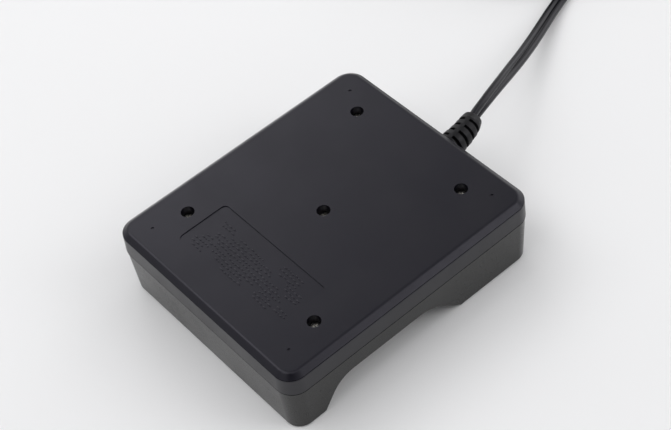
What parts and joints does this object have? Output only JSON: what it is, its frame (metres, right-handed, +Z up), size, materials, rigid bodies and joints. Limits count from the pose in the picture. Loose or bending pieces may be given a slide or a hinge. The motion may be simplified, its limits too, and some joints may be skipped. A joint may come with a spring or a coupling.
{
  "type": "li-ion battery charger",
  "caption": "Flat desktop charger for cylindrical lithium-ion cells, lying on its rim with the base cover up, with sprung sliding contacts, finger scoops and a fixed mains lead.",
  "frame": {"origin": "centre of the case's outline, at the level of the rim that it lies on", "axes": "+X across the battery bays, +Y along the cells to the end that the lead leaves, +Z up through the base cover"},
  "size_m": [0.2035, 0.3349, 0.038],
  "materials": {
    "cover_plastic": "moulded black plastic with a fine, slightly glossy grain",
    "housing_plastic": "moulded black plastic with a fine matte spark texture",
    "screw_steel": "plated steel",
    "relief_rubber": "soft moulded PVC",
    "lead_pvc": "soft black PVC with a satin surface",
    "tie_pvc": "black tie",
    "plated_brass": "nickel-plated brass",
    "core_wire": "insulated wire",
    "board_laminate": "green laminate under solder resist",
    "ferrite": "sintered ferrite",
    "winding_tape": "yellow tape over the windings",
    "capacitor_sleeve": "shrink sleeve over an aluminium can",
    "fuse_glass": "glass tube with plated caps",
    "chip_resin": "moulded resin",
    "sink_aluminium": "extruded aluminium",
    "lamp_lens": "diffused lens",
    "slider_plastic": "moulded black plastic",
    "contact_strip": "nickel-plated spring brass",
    "spring_steel": "spring steel wire"
  },
  "bodies": {
    "case": {"base_cover": "cover_plastic", "housing": "housing_plastic", "case_screws": "screw_steel", "strain_relief": "relief_rubber", "mains_lead": "lead_pvc", "lead_coil": "lead_pvc", "lead_tail": "lead_pvc", "lead_tie": "tie_pvc", "plug_body": "lead_pvc", "plug_blades": "plated_brass", "lead_cores": "core_wire", "circuit_board": "board_laminate", "transformer_core": "ferrite", "transformer_winding": "winding_tape", "input_capacitor": "capacitor_sleeve", "output_capacitors": "capacitor_sleeve", "fuse": "fuse_glass", "bridge_rectifier": "chip_resin", "switching_transistor": "chip_resin", "heat_sink": "sink_aluminium", "charge_controller": "chip_resin", "filter_choke": "ferrite", "lamp_1": "lamp_lens", "lamp_2": "lamp_lens", "lamp_3": "lamp_lens", "lamp_4": "lamp_lens", "bay1_spring": "spring_steel", "bay1_rail": "contact_strip", "bay1_positive": "contact_strip", "bay2_spring": "spring_steel", "bay2_rail": "contact_strip", "bay2_positive": "contact_strip", "bay3_spring": "spring_steel", "bay3_rail": "contact_strip", "bay3_positive": "contact_strip", "bay4_spring": "spring_steel", "bay4_rail": "contact_strip", "bay4_positive": "contact_strip"},
    "slider_1": {"bay1_slider": "slider_plastic", "bay1_contact": "contact_strip"},
    "slider_2": {"bay2_slider": "slider_plastic", "bay2_contact": "contact_strip"},
    "slider_3": {"bay3_slider": "slider_plastic", "bay3_contact": "contact_strip"},
    "slider_4": {"bay4_slider": "slider_plastic", "bay4_contact": "contact_strip"}
  },
  "joints": [
    {"name": "bay1_slide", "type": "slide", "parent": "case", "child": "slider_1", "axis": [0, -1, 0], "range_m": [0, 0.037], "stiffness_N_per_m": 100, "springref_m": -0.005, "deforming": ["bay1_spring"]},
    {"name": "bay2_slide", "type": "slide", "parent": "case", "child": "slider_2", "axis": [0, -1, 0], "range_m": [0, 0.037], "stiffness_N_per_m": 100, "springref_m": -0.005, "deforming": ["bay2_spring"]},
    {"name": "bay3_slide", "type": "slide", "parent": "case", "child": "slider_3", "axis": [0, -1, 0], "range_m": [0, 0.037], "stiffness_N_per_m": 100, "springref_m": -0.005, "deforming": ["bay3_spring"]},
    {"name": "bay4_slide", "type": "slide", "parent": "case", "child": "slider_4", "axis": [0, -1, 0], "range_m": [0, 0.037], "stiffness_N_per_m": 100, "springref_m": -0.005, "deforming": ["bay4_spring"]}
  ]
}
